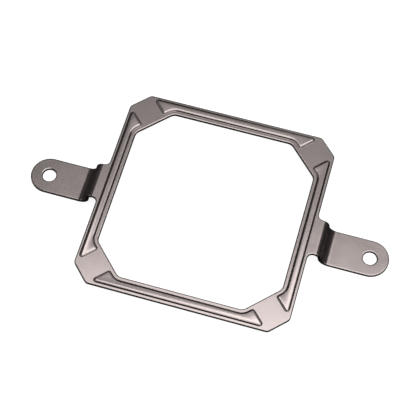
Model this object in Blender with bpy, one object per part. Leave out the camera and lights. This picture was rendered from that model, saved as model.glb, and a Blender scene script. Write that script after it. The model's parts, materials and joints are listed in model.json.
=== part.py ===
"""CPU cooler mounting bracket: a square ring with two stepped ears, stamped from one sheet of steel.

The ring drops over a cooler's cold plate and its two ears take the screws. One rib is pressed up along
each side of the ring to stiffen it, and each ear steps down from the ring in a double bend.

Units are metres. +Z is up and +X runs from ear to ear. The origin is on the ground under the middle of
the ring, because the bracket stands on the undersides of its two ears.
"""

import math

import bmesh
import bpy

MM = 0.001

# Sheet
SHEET_THICKNESS = 1.0 * MM
ROLL_OVER_WIDTH = 0.4 * MM
ROLL_OVER_DEPTH = 0.35 * MM
LOWER_EDGE_ROUND = 0.1 * MM

# Ring
OPENING_SIZE = 55.1 * MM
OPENING_CORNER_CUT = 9.1 * MM
OPENING_CORNER_ROUND = 2.5 * MM
BAND_WIDTH = 4.45 * MM
RING_CORNER_CUT = 5.15 * MM
RING_CORNER_ROUND = 1.8 * MM

# Ribs pressed up out of the ring, with a flat pad left across each corner
RIB_OUTER_MARGIN = 0.75 * MM
RIB_INNER_MARGIN = 1.05 * MM
RIB_HEIGHT = 0.5 * MM
RIB_FOOT_RADIUS = 0.1 * MM
RIB_CREST_RADIUS = 0.7 * MM
RIB_WALL_SLOPE = math.radians(46)
RIB_CREST_CORNER = 0.08 * MM
GROOVE_INSET = 0.3 * MM
PAD_WIDTH = 7.1 * MM

# Ears
HOLE_SPACING = 98.9 * MM
HOLE_DIAMETER = 4.1 * MM
EAR_WIDTH = 11.25 * MM
EAR_DROP = 5.3 * MM
TAB_LENGTH = 1.5 * MM
TAB_FILLET = 1.5 * MM
STEP_SLOPE = math.radians(82)
UPPER_BEND_RADIUS = 1.3 * MM
LOWER_BEND_RADIUS = 2.7 * MM

# How finely the curved stretches are divided
BROAD_STEPS = 5
TIGHT_STEPS = 6
EAR_END_STEPS = 10
HOLE_STEPS = 40
BEND_STEPS = 8
FILLET_STEPS = 3
ROLL_OVER_STEPS = 3

# Worked out from the sizes above
OPENING_HALF = OPENING_SIZE / 2
RING_HALF = OPENING_HALF + BAND_WIDTH
EAR_HALF = EAR_WIDTH / 2
RING_TOP = EAR_DROP + SHEET_THICKNESS
BEND_START = RING_HALF + TAB_LENGTH
SAME_POINT = 0.001 * MM
FLAT = math.radians(0.1)
LEVEL = math.cos(math.radians(1))


def rounded_outline(corners):
    """Points of a closed outline, from corners that are each (x, y, radius, steps)."""
    points = []
    for index, (x, y, radius, steps) in enumerate(corners):
        before = corners[index - 1]
        after = corners[(index + 1) % len(corners)]
        heading = math.atan2(y - before[1], x - before[0])
        turn = math.remainder(math.atan2(after[1] - y, after[0] - x) - heading, math.tau)
        side = math.copysign(1.0, turn)
        to_centre = side * radius / math.cos(turn / 2)
        inward = heading + turn / 2 + math.pi / 2
        centre_x = x + to_centre * math.cos(inward)
        centre_y = y + to_centre * math.sin(inward)
        for step in range(steps + 1):
            angle = heading + turn * step / steps - side * math.pi / 2
            points.append((centre_x + radius * math.cos(angle), centre_y + radius * math.sin(angle)))
    return points


def mirrored(quarter):
    """All corners of an outline that is symmetric about X and Y, from those of its first quarter."""
    half = quarter + [(-x, *rest) for x, *rest in reversed(quarter)]
    return half + [(-x, -y, *rest) for x, y, *rest in half]


def cut_square(half, cut, radius):
    """First-quarter corners of a square whose corners are cut off at 45 degrees."""
    return [(half, half - cut, radius, BROAD_STEPS), (half - cut, half, radius, BROAD_STEPS)]


def circle(x, radius):
    """Points of a hole on the X axis."""
    turns = [math.tau * step / HOLE_STEPS for step in range(HOLE_STEPS)]
    return [(x + radius * math.cos(turn), radius * math.sin(turn)) for turn in turns]


def double_bend():
    """The ear's step along the sheet's top surface: each stretch's length, and how far it turns down."""
    upper_radius = UPPER_BEND_RADIUS + SHEET_THICKNESS
    drop_in_bends = (upper_radius + LOWER_BEND_RADIUS) * (1 - math.cos(STEP_SLOPE))
    wall = (EAR_DROP - drop_in_bends) / math.sin(STEP_SLOPE)
    return [
        (upper_radius * STEP_SLOPE, STEP_SLOPE),
        (wall, 0.0),
        (LOWER_BEND_RADIUS * STEP_SLOPE, -STEP_SLOPE),
    ]


def bent_place(flat_x):
    """Where a point on the blank's top surface lies once the ear is bent: its x, its drop and the slope."""
    x = BEND_START
    drop = 0.0
    slope = 0.0
    left = flat_x - BEND_START
    for length, full_turn in double_bend():
        used = min(left, length)
        turn = full_turn * used / length
        chord = used * math.sin(turn / 2) / (turn / 2) if turn else used
        x += chord * math.cos(slope + turn / 2)
        drop += chord * math.sin(slope + turn / 2)
        slope += turn
        left -= used
    return x + left, drop, slope


def bend_lines():
    """Where the blank's top surface is divided across the ear, so that it can bend."""
    lines = [BEND_START]
    for length, turn in double_bend():
        steps = BEND_STEPS if turn else 1
        start = lines[-1]
        lines += [start + length * (step + 1) / steps for step in range(steps)]
    return lines


def fillet(radius):
    """A fillet that turns up from flat to the rib's wall, as (inward, up) steps."""
    slopes = [RIB_WALL_SLOPE * step / FILLET_STEPS for step in range(FILLET_STEPS + 1)]
    return [
        (radius * (math.sin(b) - math.sin(a)), radius * (math.cos(a) - math.cos(b)))
        for a, b in zip(slopes, slopes[1:])
    ]


def rib_wall(foot_radius, crest_radius):
    """A rib's wall from foot to crest: a fillet, a straight slope, a fillet, as (inward, up) steps."""
    foot = fillet(foot_radius)
    crest = fillet(crest_radius)[::-1]
    straight = RIB_HEIGHT - sum(up for _, up in foot + crest)
    return foot + [(straight / math.tan(RIB_WALL_SLOPE), straight)] + crest


def rib_foot(inset):
    """Outline of the rib along the ring's +Y side, where it leaves the flat sheet, made smaller by inset.

    It follows the ring's outer edge, the opening's edge and the opening's cut corners. It ends square to
    the cut corners, which gives it a flared three-cornered foot at each end.
    """
    inner_margin = RIB_INNER_MARGIN + inset
    outer_y = RING_HALF - RIB_OUTER_MARGIN - inset
    inner_y = OPENING_HALF + inner_margin
    cut_sum = 2 * OPENING_HALF - OPENING_CORNER_CUT + math.sqrt(2) * inner_margin
    end_gap = (PAD_WIDTH + 2 * inset) / math.sqrt(2)
    wall = rib_wall(RIB_FOOT_RADIUS, RIB_CREST_RADIUS)
    corner_radius = RIB_CREST_CORNER + sum(inward for inward, _ in wall)
    right = [
        (cut_sum - inner_y, inner_y, OPENING_CORNER_ROUND + inner_margin, BROAD_STEPS),
        ((cut_sum - end_gap) / 2, (cut_sum + end_gap) / 2, corner_radius, TIGHT_STEPS),
        (outer_y - end_gap, outer_y, corner_radius, TIGHT_STEPS),
    ]
    return rounded_outline(right + [(-x, *rest) for x, *rest in reversed(right)])


def blank_outline():
    """Outer edge of the flat blank: the ring with its cut corners, and the two ears laid out flat."""
    flat_tip = flat_hole_x() + EAR_HALF
    return rounded_outline(
        mirrored(
            [
                (flat_tip, EAR_HALF, EAR_HALF, EAR_END_STEPS),
                (RING_HALF, EAR_HALF, TAB_FILLET, BROAD_STEPS),
                *cut_square(RING_HALF, RING_CORNER_CUT, RING_CORNER_ROUND),
            ]
        )
    )


def flat_hole_x():
    """Where the ear's hole lies in the flat blank, so that the bent ears have their hole spacing."""
    bend_end = bend_lines()[-1]
    return bend_end + HOLE_SPACING / 2 - bent_place(bend_end)[0]


def add_loop(body, points, z):
    """Adds a closed loop of edges at one level, and leaves out a point that repeats the one before."""
    points = [here for here, last in zip(points, points[-1:] + points) if math.dist(here, last) > SAME_POINT]
    verts = [body.verts.new((x, y, z)) for x, y in points]
    edges = [body.edges.new(pair) for pair in zip(verts, verts[1:] + verts[:1])]
    return verts, edges


def cut_blank(body):
    """The flat blank as a closed plate, as thick as its cut edges are between their two roundings.

    Each punched edge is a loop drawn down through the thickness. Then the top and the underside are filled
    between the loops, and around the outline of each rib. Returns the faces inside those outlines, as those
    of the top and those of the underside.
    """
    hole_x = flat_hole_x()
    punched = [
        blank_outline(),
        rounded_outline(mirrored(cut_square(OPENING_HALF, OPENING_CORNER_CUT, OPENING_CORNER_ROUND))),
        circle(hole_x, HOLE_DIAMETER / 2),
        circle(-hole_x, HOLE_DIAMETER / 2),
    ]
    top_z = -ROLL_OVER_DEPTH
    underside_z = LOWER_EDGE_ROUND - SHEET_THICKNESS
    top = [edge for points in punched for edge in add_loop(body, points, top_z)[1]]
    drawn = bmesh.ops.extrude_edge_only(body, edges=top)["geom"]
    lower_verts = [part for part in drawn if isinstance(part, bmesh.types.BMVert)]
    bmesh.ops.translate(body, verts=lower_verts, vec=(0, 0, underside_z - top_z))
    underside = [edge for edge in drawn if isinstance(edge, bmesh.types.BMEdge) and edge.is_boundary]

    inside_ribs = []
    for edges, z, inset in ((top, top_z, 0.0), (underside, underside_z, GROOVE_INSET)):
        outline = rib_foot(inset)
        outlines = []
        for _ in range(4):
            verts, loop = add_loop(body, outline, z)
            outlines.append(verts)
            edges = edges + loop
            outline = [(-y, x) for x, y in outline]
        bmesh.ops.triangle_fill(body, edges=edges, use_beauty=True, normal=(0, 0, 1))
        inside_ribs.append([body.faces.new(verts) for verts in outlines])
    bmesh.ops.recalc_face_normals(body, faces=body.faces)
    return inside_ribs


def divide_ears(body):
    """Cuts both ears across at the bend lines, with one plain face between two lines."""
    lines = bend_lines()
    for x in lines:
        for side in (1, -1):
            everything = body.verts[:] + body.edges[:] + body.faces[:]
            bmesh.ops.bisect_plane(
                body, geom=everything, dist=SAME_POINT, plane_co=(side * x, 0, 0), plane_no=(1, 0, 0)
            )
    along = []
    for edge in body.edges:
        near, far = sorted(abs(vert.co.x) for vert in edge.verts)
        in_bends = near > lines[0] - SAME_POINT and far < lines[-1] + SAME_POINT
        if in_bends and far - near > SAME_POINT and edge.calc_face_angle() < FLAT:
            along.append(edge)
    bmesh.ops.dissolve_edges(body, edges=along, use_verts=True)


def roll_over():
    """The rounding that the punch leaves on top of a cut edge, as (inward, up) steps."""
    turns = [math.pi / 2 * step / ROLL_OVER_STEPS for step in range(ROLL_OVER_STEPS + 1)]
    return [
        (ROLL_OVER_WIDTH * (math.cos(a) - math.cos(b)), ROLL_OVER_DEPTH * (math.sin(b) - math.sin(a)))
        for a, b in zip(turns, turns[1:])
    ]


def round_rims(body):
    """Rounds the cut edges: the top skin shrinks and rises along the roll-over, the lower one has a small break.

    With this the plate gets its full thickness, with its top at z = 0.
    """
    for side, profile in ((1, roll_over()), (-1, [(LOWER_EDGE_ROUND, LOWER_EDGE_ROUND)])):
        skin = [face for face in body.faces if face.normal.z * side > LEVEL]
        for inward, outward in profile:
            bmesh.ops.inset_region(body, faces=skin, thickness=inward, depth=outward, use_even_offset=True)


def raise_ribs(body, inside_ribs):
    """Pushes the ribs up: each face shrinks and rises step by step along the wall's profile.

    The groove below has the wall's two fillets the other way round, because it is the far side of the sheet.
    """
    tops, undersides = inside_ribs
    for faces, wall, outward in (
        (tops, rib_wall(RIB_FOOT_RADIUS, RIB_CREST_RADIUS), 1),
        (undersides, rib_wall(RIB_CREST_RADIUS, RIB_FOOT_RADIUS), -1),
    ):
        for inward, up in wall:
            for face in faces:
                bmesh.ops.inset_region(
                    body, faces=[face], thickness=inward, depth=outward * up, use_even_offset=True
                )


def bend_ears(body):
    """Raises the blank to its level and carries each point of the ears along the double bend."""
    for vert in body.verts:
        if abs(vert.co.x) > BEND_START:
            x, drop, slope = bent_place(abs(vert.co.x))
            side = math.copysign(1.0, vert.co.x)
            vert.co.x = side * (x + vert.co.z * math.sin(slope))
            vert.co.z = vert.co.z * math.cos(slope) - drop
        vert.co.z += RING_TOP


def plated_steel():
    """Satin nickel-grey plate over steel."""
    material = bpy.data.materials.new("plated_steel")
    material.use_nodes = True
    shader = material.node_tree.nodes["Principled BSDF"]
    shader.inputs["Base Color"].default_value = (0.42, 0.39, 0.38, 1.0)
    shader.inputs["Metallic"].default_value = 1.0
    shader.inputs["Roughness"].default_value = 0.32
    return material


def make_bracket(collection):
    """The whole bracket: the blank, the rounding of its edges, its raised ribs and its bent ears."""
    body = bmesh.new()
    inside_ribs = cut_blank(body)
    divide_ears(body)
    round_rims(body)
    raise_ribs(body, inside_ribs)
    bend_ears(body)
    mesh = bpy.data.meshes.new("mounting_bracket")
    body.to_mesh(mesh)
    body.free()
    mesh.materials.append(plated_steel())
    mesh.shade_smooth()

    bracket = bpy.data.objects.new("mounting_bracket", mesh)
    collection.objects.link(bracket)


def main():
    for thing in list(bpy.data.objects):
        bpy.data.objects.remove(thing)
    collection = bpy.data.collections.new("cpu_cooler_mounting_bracket")
    bpy.context.scene.collection.children.link(collection)
    make_bracket(collection)


main()
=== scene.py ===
# %% [markdown]
# A stamped steel bracket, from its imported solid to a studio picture
#
# The object is the bracket that clamps a cooler to a processor: a square ring with four ribs pressed up
# along its sides, and two ears that step down and take the screws. It is one piece of sheet steel, so
# there is one mesh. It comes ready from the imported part, and this script gives it its finish, its light
# and its camera.

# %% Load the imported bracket
import json
import math

import bpy
from mathutils import Matrix, Vector


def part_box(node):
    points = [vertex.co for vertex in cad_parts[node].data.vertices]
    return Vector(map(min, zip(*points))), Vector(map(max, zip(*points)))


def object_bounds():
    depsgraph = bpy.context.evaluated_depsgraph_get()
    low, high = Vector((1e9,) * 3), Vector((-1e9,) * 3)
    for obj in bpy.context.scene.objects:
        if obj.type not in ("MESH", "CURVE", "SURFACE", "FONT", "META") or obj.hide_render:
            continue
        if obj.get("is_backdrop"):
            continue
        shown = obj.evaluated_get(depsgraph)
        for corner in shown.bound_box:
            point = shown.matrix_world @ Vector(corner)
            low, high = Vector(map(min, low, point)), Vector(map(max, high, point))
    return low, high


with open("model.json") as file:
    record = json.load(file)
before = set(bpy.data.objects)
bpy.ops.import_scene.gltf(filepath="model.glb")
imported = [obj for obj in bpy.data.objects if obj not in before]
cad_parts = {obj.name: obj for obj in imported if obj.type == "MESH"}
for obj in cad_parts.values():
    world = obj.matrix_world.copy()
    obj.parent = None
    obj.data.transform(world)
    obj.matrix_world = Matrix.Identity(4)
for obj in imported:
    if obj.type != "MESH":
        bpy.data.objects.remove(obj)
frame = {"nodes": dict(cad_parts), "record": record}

solid_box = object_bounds()
bracket = frame["nodes"]["mounting_bracket"]

# %% [markdown]
# Sizes come from the part
#
# A finish that knows where the ring ends and where the ears' steps are has to agree with the solid. The
# part's record states its mounts in metres: the screw seats lie on the ears' top and the flange seats
# under the ring. The sheet's thickness and the ring's height follow from these two. The record doesn't
# say where a step ends or how wide an ear is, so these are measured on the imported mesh, where the ear's
# flat top begins at the end of the step. So nothing is typed in twice.

# %% Read the sheet, the ring and the ears
MM = 0.001
SAME_PLACE = 0.001 * MM

mounts = {mount["name"]: Vector(mount["pos_m"]) for mount in frame["record"]["mounts"]}
low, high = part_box("mounting_bracket")
SHEET = mounts["left_screw_seat"].z
RING_UNDERSIDE = mounts["flange_seat_front_left"].z
RING_TOP = RING_UNDERSIDE + SHEET
RING_HALF = high.y
corners = [vertex.co for vertex in bracket.data.vertices]
ear_top = [corner for corner in corners if corner.x > RING_HALF and abs(corner.z - SHEET) < SAME_PLACE]
STEP_END = min(corner.x for corner in ear_top)
EAR_HALF = max(corner.y for corner in corners if corner.x > STEP_END)
print(f"bracket {(high.x - low.x) / MM:.1f} mm from tip to tip, ring {2 * RING_HALF / MM:.1f} mm square")
print(f"sheet {SHEET / MM:.2f} mm, ring top at {RING_TOP / MM:.2f} mm, rib tops at {high.z / MM:.2f} mm")
print(f"ears {2 * EAR_HALF / MM:.2f} mm wide, their steps end {STEP_END / MM:.1f} mm from the middle")

# %% [markdown]
# The camera
#
# Where the camera stood was worked out from the bracket's straight edges and its outline in the picture:
# edges that run side by side on the real thing meet in vanishing points, and those give the turn, the
# height and the lens. The camera looks down steeply from the front, a little from the right, and from
# about a third of a metre, which gives the slight perspective. It aims at the middle of the ring's top.
# The lens is kept as a length in pixels, because that is what vanishing points give, and is turned into
# millimetres for Blender.

# %% Place the camera
VIEW_AZIMUTH = math.radians(16.45)
VIEW_ELEVATION = math.radians(64.73)
VIEW_ROLL = math.radians(-0.45)
VIEW_DISTANCE = 0.355
VIEW_AIM = Vector((0.0003, 0.0001, RING_TOP))
LENS_IN_PIXELS = 1213.9
PICTURE_PIXELS = 416
SENSOR_MM = 36.0
NEAREST_SEEN = 0.01


def camera_axes(azimuth, elevation, roll):
    """The camera's right, up and backward directions."""
    back = Vector(
        (
            math.sin(azimuth) * math.cos(elevation),
            -math.cos(azimuth) * math.cos(elevation),
            math.sin(elevation),
        )
    )
    level = Vector((math.cos(azimuth), math.sin(azimuth), 0))
    upright = back.cross(level)
    right = math.cos(roll) * level + math.sin(roll) * upright
    up = math.cos(roll) * upright - math.sin(roll) * level
    return right, up, back


right, up, back = camera_axes(VIEW_AZIMUTH, VIEW_ELEVATION, VIEW_ROLL)
camera = bpy.data.objects.new("camera", bpy.data.cameras.new("camera"))
bpy.context.scene.collection.objects.link(camera)
turn = Matrix((right, up, back)).transposed().to_4x4()
camera.matrix_world = Matrix.Translation(VIEW_AIM + back * VIEW_DISTANCE) @ turn
camera.data.sensor_width = SENSOR_MM
camera.data.lens = LENS_IN_PIXELS / PICTURE_PIXELS * SENSOR_MM
camera.data.clip_start = NEAREST_SEEN
bpy.context.scene.camera = camera
print(f"camera at {tuple(round(v, 3) for v in camera.location)}, lens {camera.data.lens:.1f} mm")

# %% [markdown]
# Shader maths as Python
#
# A finish is mostly small sums: one mask times another, a pattern added to a base value. Written as nodes
# these take a page, so one small class wraps a socket and lets Python's own signs add the Math nodes. The
# reflected forms let a plain number stand on the left, as in 1 - mask. Every other node is made by one
# method, which takes the node's type, its settings and what goes into its sockets.

# %% A socket with arithmetic
class Wire:
    """A value that varies over a surface: an output socket, with Python's arithmetic."""

    def __init__(self, finish, socket):
        self.finish = finish
        self.socket = socket

    def math(self, operation, *others):
        return self.finish.node("ShaderNodeMath", {"operation": operation}, [self, *others])

    def __add__(self, other):
        return self.math("ADD", other)

    def __sub__(self, other):
        return self.math("SUBTRACT", other)

    def __mul__(self, other):
        return self.math("MULTIPLY", other)

    def __rsub__(self, other):
        return self.finish.node("ShaderNodeMath", {"operation": "SUBTRACT"}, [other, self])

    __radd__ = __add__
    __rmul__ = __mul__

    def __abs__(self):
        return self.math("ABSOLUTE")

    def between(self, start, end):
        """0 up to start, 1 from end on, and a smooth change between. Start may be the larger one."""
        return self.finish.node(
            "ShaderNodeMapRange",
            {"interpolation_type": "SMOOTHSTEP"},
            {"Value": self, "From Min": start, "From Max": end},
        )


class Finish:
    """A material under construction."""

    def __init__(self, name):
        self.material = bpy.data.materials.new(name)
        self.material.use_nodes = True
        self.tree = self.material.node_tree
        self.tree.nodes.clear()

    def node(self, kind, settings=None, inputs=(), output=0):
        """Adds a node: its settings first, then its sockets by place or by name. Returns one output."""
        made = self.tree.nodes.new(kind)
        for name, value in (settings or {}).items():
            setattr(made, name, value)
        pairs = inputs.items() if isinstance(inputs, dict) else enumerate(inputs)
        for key, value in pairs:
            if isinstance(value, Wire):
                self.tree.links.new(value.socket, made.inputs[key])
            else:
                made.inputs[key].default_value = value
        return Wire(self, made.outputs[output]) if made.outputs else None

    def mix_colours(self, mask, first, second):
        """The first colour where the mask is 0, the second where it is 1. A Mix node's colours are its
        inputs 6 and 7 and its output 2."""
        return self.node("ShaderNodeMix", {"data_type": "RGBA"}, {0: mask, 6: first, 7: second}, output=2)

    def noise(self, place, size, detail=2.0):
        """Smooth noise from 0 to 1 with lumps about as large as size, in the place's own unit."""
        return self.node(
            "ShaderNodeTexNoise", {}, {"Vector": place, "Scale": 1.0 / size, "Detail": detail}
        )


# %% [markdown]
# Which faces the punch cut, and painted shade on steep faces
#
# A punch shears the sheet and tears the last part of it, so a cut edge is rougher and darker than the
# flats. Such a face could be picked by hand, but a mask finds all of them: a face counts where it is
# steep. So the mask also takes other steep faces, such as the lower part of the rolled edges, and there
# its near-black colour is painted shade, standing in for the dark that these faces mirror. On the cut
# edges it is partly their own darker colour and partly painted shade. The mask reads the True Normal,
# which is the flat face's own direction, because smooth shading bends the other one. The ears' steps are
# as steep as a cut edge, but they are bent and not cut. A second mask goes by place and leaves them out:
# past the ring, before the ear's flat, and inside the ear's own two edges.

# %% A mask for the cut edges and for painted shade on steep faces
# slopes from which a face takes the near-black colour: the cut edges' own, and painted shade elsewhere
CUT_AND_SHADE_RISE = (0.70, 0.40)
STEP_BLEND = 0.2 * MM


def cut_and_shaded_faces(finish, place):
    """1 on steep faces, not bent steps: the cut edges, and steep rolled edges where it paints shade."""
    facing = finish.node("ShaderNodeNewGeometry", output="True Normal")
    steep = abs(finish.node("ShaderNodeSeparateXYZ", {}, [facing], output="Z")).between(*CUT_AND_SHADE_RISE)
    from_middle = abs(finish.node("ShaderNodeSeparateXYZ", {}, [place], output="X"))
    aside = abs(finish.node("ShaderNodeSeparateXYZ", {}, [place], output="Y"))
    past_ring = from_middle.between(RING_HALF, RING_HALF + STEP_BLEND)
    before_flat = from_middle.between(STEP_END + STEP_BLEND, STEP_END)
    within_edges = aside.between(EAR_HALF - STEP_BLEND, EAR_HALF - 2 * STEP_BLEND)
    return steep * (1 - past_ring * before_flat * within_edges)


# where the near-black colour, partly painted shade, begins and where it is full
slopes = [f"{math.degrees(math.acos(rise)):.0f}" for rise in CUT_AND_SHADE_RISE]
print("a face starts to count as cut at", slopes[0], "degrees of slope, and does so fully at", slopes[1])

# %% [markdown]
# The plated steel
#
# The real bracket is stamped from cold-rolled strip, tumbled, and plated with dark nickel. Close up, the
# flats are satin, with an even fine grain and faint lines along the rolling direction. Their tone drifts a
# little, over a few millimetres and from grain to grain, because plating builds up unevenly. One material
# holds the flats, the cut edges and the other steep faces, and the masks choose between them. The near
# black of the steep faces is partly the cut edges' own darker colour and partly painted shade. An image
# would tie the finish to a picture and a size, and a flat colour would look like plastic.

# %% Plated steel
PLATE_COLOUR = (0.45, 0.392, 0.382, 1.0)
PLATE_THIN_COLOUR = (0.405, 0.349, 0.339, 1.0)
# near black: partly the cut edges' own colour, partly painted shade on steep faces
CUT_AND_SHADE_COLOUR = (0.05, 0.045, 0.045, 1.0)
THIN_TO_FULL = (0.35, 0.65)
PLATE_ROUGHNESS = 0.22
ROUGHER_WITH_GRAIN = 0.10
ROUGHER_WITH_CLOUDS = 0.06
ROUGHER_WHERE_CUT = 0.22
GRAIN_SIZE_IN_MM = 0.35
GRAIN_DETAIL = 3.0
CLOUD_SIZE_IN_MM = 5.0
LINE_WIDTH_IN_MM = 0.18
LINE_STRETCH = (0.06, 1.0, 1.0)
GRAIN_SHARE = 0.6
GRAIN_STRENGTH = 0.45
GRAIN_DEPTH = 0.012 * MM
NOISE_MIDDLE = 0.5


def plated_steel():
    finish = Finish("plated_steel")
    place = finish.node("ShaderNodeTexCoord", output="Object")
    place_in_mm = finish.node(
        "ShaderNodeVectorMath", {"operation": "SCALE"}, {"Vector": place, "Scale": 1 / MM}
    )
    drawn_out = finish.node(
        "ShaderNodeVectorMath", {"operation": "MULTIPLY"}, [place_in_mm, LINE_STRETCH]
    )
    grain = finish.noise(place_in_mm, GRAIN_SIZE_IN_MM, GRAIN_DETAIL)
    clouds = finish.noise(place_in_mm, CLOUD_SIZE_IN_MM)
    rolling_lines = finish.noise(drawn_out, LINE_WIDTH_IN_MM)
    # mask for the cut edges and for painted shade on the other steep faces
    cut = cut_and_shaded_faces(finish, place)

    thickness = clouds * (1 - GRAIN_SHARE) + grain * GRAIN_SHARE
    plate = finish.mix_colours(thickness.between(*THIN_TO_FULL), PLATE_THIN_COLOUR, PLATE_COLOUR)
    # steep faces get the near-black colour, which is partly painted shade
    colour = finish.mix_colours(cut, plate, CUT_AND_SHADE_COLOUR)
    roughness = (
        PLATE_ROUGHNESS
        + (grain - NOISE_MIDDLE) * ROUGHER_WITH_GRAIN
        + (clouds - NOISE_MIDDLE) * ROUGHER_WITH_CLOUDS
        + cut * ROUGHER_WHERE_CUT
    )
    height = grain * GRAIN_SHARE + rolling_lines * (1 - GRAIN_SHARE)
    bump = finish.node(
        "ShaderNodeBump", {}, {"Strength": GRAIN_STRENGTH, "Distance": GRAIN_DEPTH, "Height": height}
    )
    shader = finish.node(
        "ShaderNodeBsdfPrincipled",
        {},
        {"Base Color": colour, "Metallic": 1.0, "Roughness": roughness, "Normal": bump},
    )
    finish.node("ShaderNodeOutputMaterial", {}, {"Surface": shader})
    return finish.material


bracket.data.materials.clear()
bracket.data.materials.append(plated_steel())
print("finish:", bracket.data.materials[0].name, len(bracket.data.materials[0].node_tree.nodes), "nodes")

# %% [markdown]
# Smooth bends from short flats
#
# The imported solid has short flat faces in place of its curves, and each is a loose triangle with its own
# normals. Smooth shading hides the joins: each corner gets a normal blended from the faces around it. For
# that the mesh's own normals are dropped, the triangles are joined at their corners, and those that lie in
# one plane become one face. Edges that turn sharply are split, so that they stay crisp. The Weighted
# Normal modifier lets the large flats keep their own direction, so that a rounded edge doesn't bend the
# light far into the flat beside it.
#
# The ribs' crests are a little domed on the real bracket and flat in the solid. A second Weighted Normal
# modifier works on the crests alone. It goes by the angles of the faces and not by their size, so the
# normals along a crest's sides lean outwards and the crest looks domed. All of this is done by modifiers,
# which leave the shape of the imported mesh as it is.

# %% Shade the bracket smooth
SAME_PLANE = math.radians(0.05)
SHARP_FROM = math.radians(34)
FLATS_WEIGHT = 90
CREST_WEIGHT = 50

bracket.data.attributes.remove(bracket.data.attributes["custom_normal"])
bracket.data.shade_smooth()
joined = bracket.modifiers.new("join the triangles", "WELD")
joined.merge_threshold = SAME_PLACE
flats = bracket.modifiers.new("one face to a flat", "DECIMATE")
flats.decimate_type = "DISSOLVE"
flats.angle_limit = SAME_PLANE
creases = bracket.modifiers.new("crisp creases", "EDGE_SPLIT")
creases.split_angle = SHARP_FROM
creases.use_edge_sharp = False
weighted = bracket.modifiers.new("flats keep their direction", "WEIGHTED_NORMAL")
weighted.weight = FLATS_WEIGHT
crests = bracket.vertex_groups.new(name="rib_crests")
crests.add([v.index for v in bracket.data.vertices if v.co.z > high.z - SAME_PLACE], 1.0, "REPLACE")
domed = bracket.modifiers.new("crests look domed", "WEIGHTED_NORMAL")
domed.vertex_group = crests.name
domed.mode = "CORNER_ANGLE"
domed.weight = CREST_WEIGHT
shaded = bracket.evaluated_get(bpy.context.evaluated_depsgraph_get()).data
print(f"{len(bracket.data.polygons)} loose triangles are shaded as {len(shaded.polygons)} joined faces")

# %% [markdown]
# The floor
#
# The picture has a plain white ground. A white floor that is only lit would need so much light that the
# steel would burn out. So a grey floor is lit and glows besides, for the rays that come from the camera or
# from a reflection, and the two together come out white. Where the bracket keeps light out, the floor is
# left a little darker, and that is the faint shadow which shows from low down.

# %% White for the floor
FLOOR_GLOW = 0.80
FLOOR_COLOUR = (0.30, 0.30, 0.30, 1.0)


def seen_directly_or_mirrored(finish):
    """1 for camera, glossy and transmission rays."""
    camera_ray = finish.node("ShaderNodeLightPath", output="Is Camera Ray")
    glossy_ray = finish.node("ShaderNodeLightPath", output="Is Glossy Ray")
    clear_ray = finish.node("ShaderNodeLightPath", output="Is Transmission Ray")
    return camera_ray + glossy_ray + clear_ray


def glowing_white():
    finish = Finish("white_floor")
    lit = finish.node("ShaderNodeBsdfDiffuse", {}, {"Color": FLOOR_COLOUR})
    glow = finish.node("ShaderNodeEmission", {}, {"Strength": FLOOR_GLOW})
    lit_and_glowing = finish.node("ShaderNodeAddShader", {}, [lit, glow])
    seen = seen_directly_or_mirrored(finish)
    surface = finish.node("ShaderNodeMixShader", {}, [seen, lit, lit_and_glowing])
    finish.node("ShaderNodeOutputMaterial", {}, {"Surface": surface})
    return finish.material


floor_white = glowing_white()
print(f"{floor_white.name}: glow {FLOOR_GLOW:.2f}")

# %% [markdown]
# Flat rectangles for the stage
#
# The floor, and later the walls and the cards, are flat rectangles that face a point. One helper makes them
# all, and names them as stage, so that none is taken for a part of the bracket. A plane of four corners is
# enough, because nothing on it is bent. The world around them is plain white, for views from low down that
# look past the floor's end.

# %% Floor and surroundings
WHITE = (1.0, 1.0, 1.0, 1.0)
FLOOR_SIZE = 4.0


def card(name, size, place, facing, material):
    """A flat rectangle that faces a point."""
    half_x, half_y = size[0] / 2, size[1] / 2
    outline = [(-half_x, -half_y, 0), (half_x, -half_y, 0), (half_x, half_y, 0), (-half_x, half_y, 0)]
    mesh = bpy.data.meshes.new(name)
    mesh.from_pydata(outline, [], [(0, 1, 2, 3)])
    mesh.materials.append(material)
    made = bpy.data.objects.new(name, mesh)
    made.location = place
    made.rotation_mode = "QUATERNION"
    made.rotation_quaternion = (Vector(facing) - Vector(place)).to_track_quat("Z", "Y")
    bpy.context.scene.collection.objects.link(made)
    made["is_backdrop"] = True
    return made


card("floor", (FLOOR_SIZE, FLOOR_SIZE), (0, 0, 0), (0, 0, 1), floor_white)
world = bpy.data.worlds.new("white_surroundings")
bpy.context.scene.world = world
world.use_nodes = True
world.node_tree.nodes["Background"].inputs["Color"].default_value = WHITE
world.node_tree.nodes["Background"].inputs["Strength"].default_value = 1.0
print(f"floor {FLOOR_SIZE:.0f} m wide, in {world.name}")

# %% [markdown]
# Light for shiny metal
#
# Metal shows what it mirrors, so its light is a matter of what hangs and stands where. The flats of the
# ring mirror a place above and behind it. The back edge of a bright soft box lies just there, a little
# askew, so the near corners see much of the box, the far ones little, and the left ear less than the right
# one. That gives the picture its slow change from dull to bright. Behind the box hangs a dim strip, so
# that the far flats still show their colour. In front of it a wider box, not so bright, lights the rounded
# edges, and keeps the flats from burning out when they are seen from above.

# %% Three lamps side by side
LAMP_HEIGHT = 0.6
LAMP_TURN = math.radians(8)
LAMPS_ACROSS = (-0.20, 0.50)
WIDE_BOX = {"span": (-0.60, 0.03), "radiance": 1.6}
BRIGHT_BOX = {"span": (0.03, 0.20), "radiance": 2.7}
DIM_STRIP = {"span": (0.20, 0.42), "radiance": 0.55}


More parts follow.
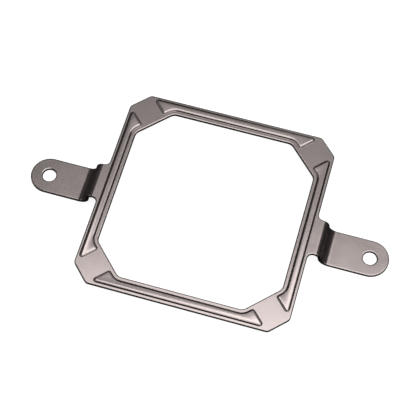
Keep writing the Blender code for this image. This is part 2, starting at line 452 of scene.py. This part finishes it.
def lamp(name, span, radiance):
    """A lamp that shines down from the lamps' height and looks equally bright from everywhere."""
    data = bpy.data.lights.new(name, "AREA")
    data.shape = "RECTANGLE"
    data.size = LAMPS_ACROSS[1] - LAMPS_ACROSS[0]
    data.size_y = span[1] - span[0]
    data.energy = radiance * math.pi * data.size * data.size_y
    made = bpy.data.objects.new(name, data)
    turned = Matrix.Rotation(LAMP_TURN, 3, "Z")
    made.location = turned @ Vector((sum(LAMPS_ACROSS) / 2, sum(span) / 2, LAMP_HEIGHT))
    made.rotation_euler = turned.to_euler()
    bpy.context.scene.collection.objects.link(made)
    print(f"{name}: {data.size:.2f} by {data.size_y:.2f} m, {data.energy:.1f} W")


lamp("wide_box", **WIDE_BOX)
lamp("bright_box", **BRIGHT_BOX)
lamp("dim_strip", **DIM_STRIP)

# %% [markdown]
# Cards for the dark lines
#
# The ribs' walls, the steps of the ears and the rolled edges mirror what stands low around the bracket. In
# the picture they are nearly black, and those lines make it crisp, so dark cards stand where they are
# mirrored. What the flats mirror from another side is higher up, and it has to be paler, or the bracket
# would be black from there. So there are three papers: a dark one for the cards, one that goes from dark
# at the floor to pale higher up for the walls, and one for the ceiling. They glow by themselves, because a
# lit paper would change with every lamp that is moved.

# %% Paper that glows
DARK = 0.03
PALE = 0.42
CEILING = 0.05
WALL_DARK_UP_TO = 0.12
WALL_PALE_FROM = 0.32


def grey(level):
    return (level, level, level, 1.0)


def paper(name, level, level_above=None):
    """Paper that glows in one grey, or in one grey near the floor and another higher up."""
    finish = Finish(name)
    tone = grey(level)
    if level_above is not None:
        place = finish.node("ShaderNodeNewGeometry", output="Position")
        height = finish.node("ShaderNodeSeparateXYZ", {}, [place], output="Z")
        tone = finish.mix_colours(height.between(WALL_DARK_UP_TO, WALL_PALE_FROM), tone, grey(level_above))
    glow = finish.node("ShaderNodeEmission", {}, {"Color": tone})
    finish.node("ShaderNodeOutputMaterial", {}, {"Surface": glow})
    return finish.material


dark_paper = paper("dark_paper", DARK)
wall_paper = paper("wall_paper", DARK, PALE)
ceiling_paper = paper("ceiling_paper", CEILING)
print("papers:", dark_paper.name, wall_paper.name, ceiling_paper.name)

# %% [markdown]
# Where the walls and cards stand
#
# Four walls and a ceiling make a room around the bracket, with the lamps just below the ceiling. The four
# dark cards stand a little in front of the walls, where the dark lines mirror them, and a fifth lies on the
# floor for the edges that look down. All of it is there for reflections only: it is out of the picture,
# casts no shadow and lights nothing, so the floor stays white.

# %% Walls and cards for reflections
WALL_DISTANCE = 0.70
WALL_HEIGHT = 0.64
WALL_SIDES = {"left": (-1, 0), "right": (1, 0), "back": (0, 1), "front": (0, -1)}
FLOOR_GAP = 0.1 * MM
DARK_CARD_SIZE = (0.45, 0.55)
DARK_CARD_PLACES = {
    "front": (-0.10, -0.66),
    "left": (-0.66, 0.30),
    "right": (0.66, 0.30),
    "back": (-0.20, 0.66),
}


def reflection_card(name, size, place, facing, material):
    """A card that shapes reflections and nothing else."""
    made = card(name, size, place, facing, material)
    made.visible_camera = False
    made.visible_shadow = False
    made.visible_diffuse = False


wall_size = (2 * WALL_DISTANCE, WALL_HEIGHT)
wall_middle = WALL_HEIGHT / 2
for name, (x, y) in WALL_SIDES.items():
    place = (x * WALL_DISTANCE, y * WALL_DISTANCE, wall_middle)
    reflection_card(f"wall_{name}", wall_size, place, (0, 0, wall_middle), wall_paper)
card_middle = DARK_CARD_SIZE[1] / 2
for name, (x, y) in DARK_CARD_PLACES.items():
    place = (x, y, card_middle)
    reflection_card(f"dark_card_{name}", DARK_CARD_SIZE, place, (0, 0, card_middle), dark_paper)
between_walls = (2 * WALL_DISTANCE, 2 * WALL_DISTANCE)
reflection_card("ceiling", between_walls, (0, 0, WALL_HEIGHT), (0, 0, 0), ceiling_paper)
reflection_card("dark_card_below", between_walls, (0, 0, FLOOR_GAP), (0, 0, WALL_HEIGHT), dark_paper)

# %% [markdown]
# Colours as they are
#
# The Standard view keeps colours as they are written. The last lines print the box of the solid and
# that of the dressed bracket.

# %% Keep colours as written and print the boxes
bpy.context.scene.view_settings.view_transform = "Standard"
dressed_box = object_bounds()
for name, box in (("solid", solid_box), ("dressed", dressed_box)):
    print(f"{name} box:", [[round(v, 5) for v in corner] for corner in box])
